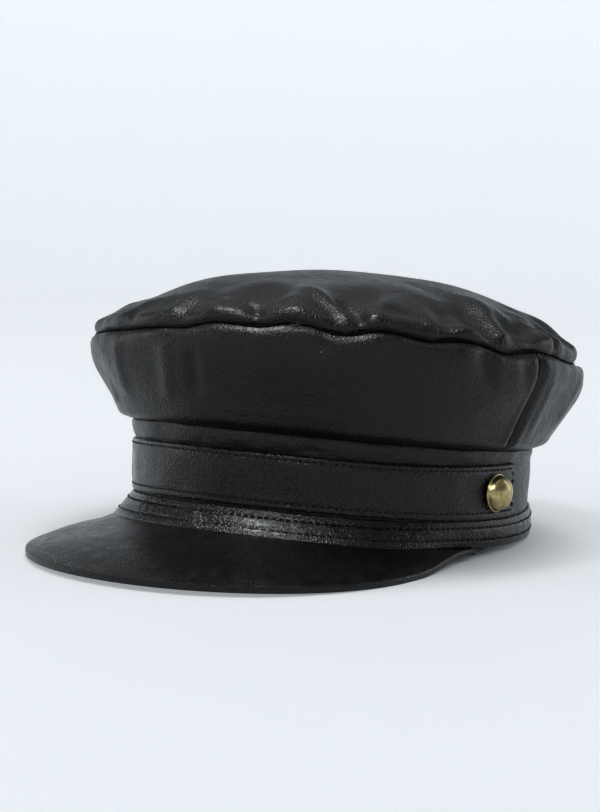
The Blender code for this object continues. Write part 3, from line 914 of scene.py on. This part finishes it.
def stitch_row(points, normals):
    """Stitches along a dense path: short rounded beads of thread that dip into the leather at both ends."""
    steps = np.linalg.norm(np.diff(points, axis=0), axis=-1)
    run = np.concatenate([[0.0], np.cumsum(steps)])
    count = int(run[-1] // STITCH_PITCH)
    share = np.linspace(-1.0, 1.0, THREAD_RINGS)
    lifted = THREAD_RADIUS * (0.55 - 1.5 * share ** 4)
    thick = THREAD_RADIUS * np.sqrt(np.maximum(1.0 - 0.72 * share ** 2, 0.05))
    turns = np.arange(THREAD_SIDES) * 2.0 * math.pi / THREAD_SIDES
    beads = []
    for number in range(count):
        centre = (number + 0.5) * run[-1] / count
        at = centre + share / 2.0 * STITCH_LENGTH
        line = np.stack([np.interp(at, run, points[:, axis]) for axis in range(3)], axis=-1)
        normal = np.array([np.interp(centre, run, normals[:, axis]) for axis in range(3)])
        normal /= np.linalg.norm(normal)
        forward = line[-1] - line[0]
        forward /= np.linalg.norm(forward)
        side = np.cross(forward, normal)
        spokes = np.cos(turns)[None, :, None] * side + np.sin(turns)[None, :, None] * normal
        beads.append((line + lifted[:, None] * normal)[:, None, :] + spokes * thick[:, None, None])
    return beads


def thread_object(name, beads, material):
    """All of a seam's stitches as one mesh."""
    beads = np.array(beads)
    count, rings, sides = beads.shape[:3]
    index = np.arange(count * rings * sides).reshape(count, rings, sides)
    quads = strips(index[:, :-1], index[:, 1:], True).reshape(-1, 4)
    faces = quads.tolist() + index[:, 0].tolist() + index[:, -1, ::-1].tolist()
    return leather_object(name, beads.reshape(-1, 3), faces, material)


def strap_threads(material):
    """The strap's two long rows of stitches and the short row across each end."""
    trim = math.degrees(STRAP_STITCH_END / (HEAD_LENGTH / 2.0))
    angles = np.linspace(-STRAP_END + trim, STRAP_END - trim, 900)
    out = GAP + STRAP_WALL - THREAD_SUNK
    beads = []
    for down in (STRAP_STITCH_TOP, STRAP_HEIGHT - STRAP_STITCH_LOW):
        points = place(angles, out + 0.0 * angles, strap_top(angles) - down)
        normals = place(angles, out + MILLIMETRE + 0.0 * angles, strap_top(angles) - down) - points
        beads += stitch_row(points, normals)
    for end in (angles[0], angles[-1]):
        down = np.linspace(STRAP_STITCH_TOP + 0.0006, STRAP_HEIGHT - STRAP_STITCH_LOW - 0.0006, 60)
        turn = np.full(60, end)
        points = place(turn, out + 0.0 * down, strap_top(turn) - down)
        normals = place(turn, out + MILLIMETRE + 0.0 * down, strap_top(turn) - down) - points
        beads += stitch_row(points, normals)
    return thread_object("strap_thread", beads, material)


def strip_threads(material):
    """The strip's two rows of stitches, which run all round the head."""
    angles = np.linspace(-180.0, 180.0, 2200)
    rows = 60
    shares = np.linspace(0.0, 1.0, rows)[None, :]
    grid = strip_rows(angles[:, None], shares)
    normals = normals_of(grid, False)
    slant = slant_lengths(grid)
    picked = np.arange(len(angles))
    beads = []
    for share in (STRIP_STITCH_LOW_SHARE, 1.0 - STRIP_STITCH_TOP_SHARE):
        wanted = slant[:, -1] * share
        row = np.array([np.interp(length, line, shares[0]) for length, line in zip(wanted, slant)])
        row = row * (rows - 1.0)
        index = np.clip(row.astype(int), 0, rows - 2)
        part = (row - index)[:, None]
        points = grid[picked, index] * (1.0 - part) + grid[picked, index + 1] * part
        normal = normals[picked, index]
        beads += stitch_row(points + normal * STRIP_THREAD_RAISED, normal)
    return thread_object("strip_thread", beads, material)


# Buttons

def button(name, angle, material):
    """A domed button turned in one piece: a rolled rim, a groove, and a slightly uneven dome."""
    radius = BUTTON_DIAMETER / 2.0
    middle = float(strap_top(np.array(angle))) - STRAP_HEIGHT / 2.0
    seat = place(np.array(angle), np.array(2.0 * GAP + STRAP_WALL), np.array(middle))
    tip = place(np.array(angle), np.array(2.0 * GAP + STRAP_WALL + MILLIMETRE), np.array(middle))
    outward = (tip - seat) / MILLIMETRE
    sideways = np.array((-outward[1], outward[0], 0.0))
    rings = [(0.86, 0.0), (0.95, 0.1), (0.99, 0.35), (1.0, 0.6), (0.99, 0.85), (0.965, 1.0), (0.94, 1.0)]
    profile = [(reach * radius, rise * BUTTON_RIM) for reach, rise in rings]
    for step in range(BUTTON_RINGS - 1):
        lean = math.radians(6.0 + 84.0 * step / (BUTTON_RINGS - 1.0))
        rise = BUTTON_RIM * 0.8 + BUTTON_DOME * BUTTON_SWELL * math.sin(lean)
        profile.append((0.93 * radius * math.cos(lean), rise))
    profile = np.array(profile)
    turns = np.arange(BUTTON_SIDES) * 2.0 * math.pi / BUTTON_SIDES
    spokes = np.cos(turns)[:, None] * sideways + np.sin(turns)[:, None] * np.array((0.0, 0.0, 1.0))
    points = seat + spokes[:, None, :] * profile[None, :, :1] + outward * profile[None, :, 1:]
    points = points + outward * (0.00006 * waves(points, 0.003, 51 + int(angle > 0)))[..., None]
    rows = len(profile)
    index = np.arange(BUTTON_SIDES * rows).reshape(BUTTON_SIDES, rows)
    quads = strips(index, np.roll(index, -1, axis=0), False).reshape(-1, 4)
    faces = quads.tolist() + [index[::-1, 0].tolist(), index[:, -1].tolist()]
    return leather_object(name, points.reshape(-1, 3), faces, material)


# Materials

class Nodes:
    """A material's node tree, with short ways to add a node and link it."""

    def __init__(self, name):
        self.material = bpy.data.materials.new(name)
        self.material.use_nodes = True
        self.tree = self.material.node_tree
        self.shader = self.tree.nodes["Principled BSDF"]

    def add(self, kind, **settings):
        """A node of this kind, with its own settings and its inputs set by name."""
        node = self.tree.nodes.new("ShaderNode" + kind)
        for key, value in settings.items():
            if hasattr(node, key):
                setattr(node, key, value)
            else:
                node.inputs[key.replace("_", " ").title()].default_value = value
        return node

    def link(self, source, target):
        self.tree.links.new(source, target)

    def place(self):
        return self.add("TexCoord").outputs["Object"]

    def noise(self, scale, detail=2.0, roughness=0.5):
        node = self.add("TexNoise", scale=scale, detail=detail)
        node.inputs["Roughness"].default_value = roughness
        self.link(self.place(), node.inputs["Vector"])
        return node.outputs["Fac"]

    def cells(self, scale):
        node = self.add("TexVoronoi", feature="F1", scale=scale)
        self.link(self.place(), node.inputs["Vector"])
        return node.outputs["Distance"]

    def stretch(self, source, low, high, new_low=0.0, new_high=1.0):
        """The source's values from low to high, spread over new_low to new_high."""
        node = self.add("MapRange")
        self.link(source, node.inputs["Value"])
        for name, value in (("From Min", low), ("From Max", high), ("To Min", new_low), ("To Max", new_high)):
            node.inputs[name].default_value = value
        return node.outputs["Result"]

    def maths(self, operation, first, second):
        node = self.add("Math", operation=operation)
        for socket, value in zip(node.inputs, (first, second)):
            if isinstance(value, (int, float)):
                socket.default_value = value
            else:
                self.link(value, socket)
        return node.outputs[0]

    def mix(self, factor, first, second):
        """A colour between two, each a colour or a socket."""
        node = self.add("Mix", data_type="RGBA")
        for socket, value in ((node.inputs[0], factor), (node.inputs[6], first), (node.inputs[7], second)):
            if isinstance(value, (tuple, float)):
                socket.default_value = value
            else:
                self.link(value, socket)
        return node.outputs[2]

    def bump(self, height, distance, strength, below=None):
        node = self.add("Bump", distance=distance, strength=strength)
        self.link(height, node.inputs["Height"])
        if below is not None:
            self.link(below, node.inputs["Normal"])
        return node.outputs["Normal"]

    def attribute(self, name):
        return self.add("Attribute", attribute_name=name).outputs["Fac"]


def leather(name, dark, light, worn_and_lit, rough, grain_size, grain_depth, coat):
    """Grained leather: pebbled cells, finer pores, patchy colour, painted shade in the grain's hollows, and
    paler, smoother places that are partly wear and partly painted highlight.
    """
    nodes = Nodes(name)
    pebble = nodes.cells(1.0 / grain_size)
    pores = nodes.noise(2.4 / grain_size, 3.0, 0.6)
    patches = nodes.noise(28.0, 3.0, 0.55)
    blotches = nodes.noise(160.0, 4.0, 0.6)
    wear_and_highlight = nodes.attribute("wear_and_highlight")

    base = nodes.mix(nodes.stretch(patches, 0.35, 0.68), dark, light)
    hollow = nodes.stretch(pebble, 0.25, 0.75)
    # Painted shade: the base colour darkens in the grain's hollows, between the pebbles.
    hollow_shade_colour = (dark[0] * 0.4, dark[1] * 0.4, dark[2] * 0.4, 1.0)
    base = nodes.mix(nodes.maths("MULTIPLY", hollow, HOLLOW_PAINTED_SHADE), base, hollow_shade_colour)
    # Partly wear and partly painted highlight: worn edges, ridges and rolls are paled towards a grey.
    scuffed_and_lit = nodes.maths("MULTIPLY", wear_and_highlight, WORN_AND_LIT_COLOUR_SHARE)
    scuffed_and_lit = nodes.maths("MULTIPLY", scuffed_and_lit, nodes.stretch(blotches, 0.36, 0.70))
    base = nodes.mix(scuffed_and_lit, base, worn_and_lit)
    nodes.link(base, nodes.shader.inputs["Base Color"])

    gloss = nodes.stretch(blotches, 0.3, 0.7, rough - 0.06, rough + 0.08)
    gloss = nodes.maths("ADD", gloss, nodes.maths("MULTIPLY", hollow, HOLLOW_ROUGHENING))
    gloss = nodes.maths("SUBTRACT", gloss, nodes.maths("MULTIPLY", wear_and_highlight, WORN_SMOOTHING))
    nodes.link(gloss, nodes.shader.inputs["Roughness"])

    inverted = nodes.maths("SUBTRACT", 1.0, pebble)
    relief = nodes.maths("ADD", nodes.stretch(inverted, 0.42, 0.80), nodes.maths("MULTIPLY", pores, 0.20))
    fine = nodes.bump(relief, grain_depth, 0.85)
    wide = nodes.bump(nodes.noise(0.35 / grain_size, 3.0, 0.5), grain_depth * 2.2, 0.5, fine)
    nodes.link(wide, nodes.shader.inputs["Normal"])

    nodes.shader.inputs["Specular IOR Level"].default_value = LEATHER_SPECULAR
    nodes.shader.inputs["Coat Weight"].default_value = coat
    nodes.shader.inputs["Coat Roughness"].default_value = COAT_ROUGHNESS
    return nodes.material


def thread_finish():
    """Black waxed thread with a fine twist."""
    nodes = Nodes("thread")
    twist = nodes.noise(2600.0, 2.0)
    nodes.link(nodes.mix(twist, (0.002, 0.002, 0.003, 1.0), (0.007, 0.007, 0.008, 1.0)),
               nodes.shader.inputs["Base Color"])
    nodes.link(nodes.bump(twist, 0.00012, 0.8), nodes.shader.inputs["Normal"])
    nodes.link(nodes.stretch(twist, 0.3, 0.7, 0.60, 0.80), nodes.shader.inputs["Roughness"])
    nodes.shader.inputs["Specular IOR Level"].default_value = 0.12
    return nodes.material


def aged_brass():
    """Brass darkened to olive, with brighter rubbed places and fine scratches."""
    nodes = Nodes("aged_brass")
    blotches = nodes.noise(420.0, 5.0, 0.65)
    specks = nodes.noise(2200.0, 3.0, 0.6)
    rubbed = nodes.stretch(blotches, 0.36, 0.66)
    tarnish = nodes.mix(rubbed, (0.270, 0.218, 0.095, 1.0), (0.480, 0.392, 0.190, 1.0))
    nodes.link(nodes.mix(nodes.stretch(specks, 0.56, 0.74), tarnish, (0.110, 0.088, 0.040, 1.0)),
               nodes.shader.inputs["Base Color"])
    nodes.shader.inputs["Metallic"].default_value = 1.0
    nodes.link(nodes.stretch(blotches, 0.3, 0.7, 0.34, 0.18), nodes.shader.inputs["Roughness"])
    nodes.link(nodes.bump(specks, 0.00008, 0.5), nodes.shader.inputs["Normal"])
    return nodes.material


def floor_finish():
    """A pale, matt, faintly mottled floor that glows a little, less under the cap so that a shadow is painted
    there, and not at its upper rim, which is painted dark as shade.
    """
    nodes = Nodes("pale_floor")
    mottle = nodes.noise(3.0, 2.0)
    split = nodes.add("SeparateXYZ")
    nodes.link(nodes.place(), split.inputs[0])
    # Painted shade: the dish's colour darkens towards its top, and it stops glowing there.
    painted_top_shade = nodes.stretch(split.outputs["Z"], *TOP_SHADE_HEIGHTS)
    pale = nodes.mix(mottle, (0.80, 0.83, 0.86, 1.0), (0.84, 0.865, 0.89, 1.0))
    nodes.link(nodes.mix(painted_top_shade, pale, (0.20, 0.21, 0.22, 1.0)), nodes.shader.inputs["Base Color"])
    nodes.shader.inputs["Roughness"].default_value = 0.75
    nodes.shader.inputs["Specular IOR Level"].default_value = 0.2
    reach = nodes.add("VectorMath", operation="LENGTH")
    nodes.link(nodes.place(), reach.inputs[0])
    glow = nodes.stretch(reach.outputs["Value"], GLOW_START, DISH_RADIUS - DISH_BEND / 2.0)
    glow = nodes.maths("MULTIPLY", nodes.maths("POWER", glow, 0.7), WALL_GLOW)
    # Painted shadow: the floor's glow fades out under the cap, which leaves a dark pool there.
    under = nodes.stretch(reach.outputs["Value"], *PAINTED_SHADOW_REACH)
    glow = nodes.maths("ADD", glow, nodes.maths("MULTIPLY", under, FLOOR_GLOW))
    glow = nodes.maths("MULTIPLY", glow, nodes.stretch(painted_top_shade, 0.0, 1.0, 1.0, 0.0))
    nodes.shader.inputs["Emission Color"].default_value = (0.93, 0.97, 1.0, 1.0)
    nodes.link(glow, nodes.shader.inputs["Emission Strength"])
    return nodes.material


# Surroundings

def surroundings():
    """A round pale floor that curves up all round, and a plain sky above it."""
    flat = DISH_RADIUS - DISH_BEND
    profile = [(0.0, 0.0), (flat * 0.25, 0.0), (flat * 0.6, 0.0), (flat, 0.0)]
    for step in range(1, DISH_BEND_STEPS + 1):
        lean = math.pi / 2.0 * step / DISH_BEND_STEPS
        profile.append((flat + DISH_BEND * math.sin(lean), DISH_BEND * (1.0 - math.cos(lean))))
    profile.append((DISH_RADIUS, DISH_HEIGHT))
    rows = len(profile)
    points = []
    for side in range(DISH_SIDES):
        turn = 2.0 * math.pi * side / DISH_SIDES
        points += [(reach * math.cos(turn), reach * math.sin(turn), up) for reach, up in profile]
    index = np.arange(DISH_SIDES * rows).reshape(DISH_SIDES, rows)
    quads = strips(index, np.roll(index, -1, axis=0), False).reshape(-1, 4)
    floor = leather_object("floor", np.array(points), quads.tolist(), floor_finish())


def world(colour, strength):
    scene_world = bpy.data.worlds.new("studio")
    scene_world.use_nodes = True
    background = scene_world.node_tree.nodes["Background"]
    background.inputs["Color"].default_value = (*colour, 1.0)
    background.inputs["Strength"].default_value = strength
    bpy.context.scene.world = scene_world


def camera_axes():
    """The direction from the cap to the camera, and the camera's right and up."""
    turn, rise, roll = (math.radians(value) for value in (CAMERA_AZIMUTH, CAMERA_ELEVATION, CAMERA_ROLL))
    back = Vector((math.sin(turn) * math.cos(rise), -math.cos(turn) * math.cos(rise), math.sin(rise)))
    right = Vector((math.cos(turn), math.sin(turn), 0.0))
    up = back.cross(right)
    return back, right * math.cos(roll) + up * math.sin(roll), up * math.cos(roll) - right * math.sin(roll)


def camera(middle):
    back, right, up = camera_axes()
    data = bpy.data.cameras.new("camera")
    shown = bpy.data.objects.new("camera", data)
    bpy.context.collection.objects.link(shown)
    pose = Matrix((right, up, back)).transposed().to_4x4()
    pose.translation = middle + back * CAMERA_DISTANCE
    shown.matrix_world = pose
    data.sensor_width = SENSOR
    data.lens = FOCAL_PIXELS / max(IMAGE_WIDTH, IMAGE_HEIGHT) * SENSOR
    data.shift_x = -SHIFT_RIGHT_PIXELS / max(IMAGE_WIDTH, IMAGE_HEIGHT)
    bpy.context.scene.camera = shown


def soft_light(target, name, right, behind, up, width, height, power, colour):
    """A rectangular light, placed as the camera sees it: to the right of the cap, behind it and above it."""
    turn = math.radians(CAMERA_AZIMUTH)
    side = Vector((math.cos(turn), math.sin(turn), 0.0))
    away = Vector((-math.sin(turn), math.cos(turn), 0.0))
    data = bpy.data.lights.new(name, "AREA")
    data.shape = "RECTANGLE"
    data.size = width
    data.size_y = height
    data.energy = power
    data.color = colour
    light = bpy.data.objects.new(name, data)
    bpy.context.collection.objects.link(light)
    light.location = target + side * right + away * behind + Vector((0.0, 0.0, up))
    light.rotation_mode = "QUATERNION"
    light.rotation_quaternion = (target - light.location).to_track_quat("-Z", "Y")
    return light


def lights(middle):
    for row in SOFT_LIGHTS:
        soft_light(middle, *row)
    for row in GLINT_LIGHTS:
        soft_light(middle, *row).visible_diffuse = False


# Build

for old in list(bpy.data.objects):
    bpy.data.objects.remove(old, do_unlink=True)
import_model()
cad_low, cad_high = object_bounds()
band_low, band_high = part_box("band")
HEAD_MIDDLE = (band_low.y + band_high.y) / 2.0
MIDDLE = (cad_low + cad_high) / 2.0

crown_leather = leather("crown_leather", (0.0020, 0.0022, 0.0026, 1.0), (0.0045, 0.0050, 0.0060, 1.0),
                        (0.022, 0.025, 0.029, 1.0), 0.31, 0.00125, 0.00018, 0.05)
strap_leather = leather("strap_leather", (0.0018, 0.0020, 0.0023, 1.0), (0.0040, 0.0044, 0.0052, 1.0),
                        (0.020, 0.022, 0.025, 1.0), 0.21, 0.00120, 0.00016, 0.06)
peak_leather = leather("peak_leather", (0.0020, 0.0022, 0.0026, 1.0), (0.0042, 0.0047, 0.0056, 1.0),
                       (0.022, 0.024, 0.028, 1.0), 0.26, 0.00105, 0.00012, 0.04)
thread = thread_finish()
brass = aged_brass()

seam_gap = math.degrees((GAP / 2.0 + CROWN_WALL / 4.0) / (HEAD_LENGTH / 2.0))
dressed(crown_top(crown_leather), "crown_leather", "crown_top")
front_arc = arc(-SIDE_SEAM_ANGLE + seam_gap, SIDE_SEAM_ANGLE - seam_gap)
back_arc = arc(SIDE_SEAM_ANGLE + seam_gap, 360.0 - SIDE_SEAM_ANGLE - seam_gap)
dressed(crown_side("side_panel_front", front_arc, crown_leather), "crown_leather", "crown_side_front")
dressed(crown_side("side_panel_back", back_arc, crown_leather), "crown_leather", "crown_side_back")
dressed(band(crown_leather), "crown_leather", "band")
dressed(strap(strap_leather), "strap_leather", "strap")
dressed(base_strip(strap_leather), "strap_leather", "base_strip")
dressed(peak(peak_leather), "peak_leather", "peak")
dressed(button("domed_button_left", -BUTTON_ANGLE, brass), "aged_brass", "button_left")
dressed(button("domed_button_right", BUTTON_ANGLE, brass), "aged_brass", "button_right")
dressed(strap_threads(thread), "strap_leather")
dressed(strip_threads(thread), "strap_leather")

surroundings()
world(SKY_COLOUR, SKY_STRENGTH)
bpy.context.scene.view_settings.view_transform = "Standard"
camera(MIDDLE)
lights(MIDDLE)
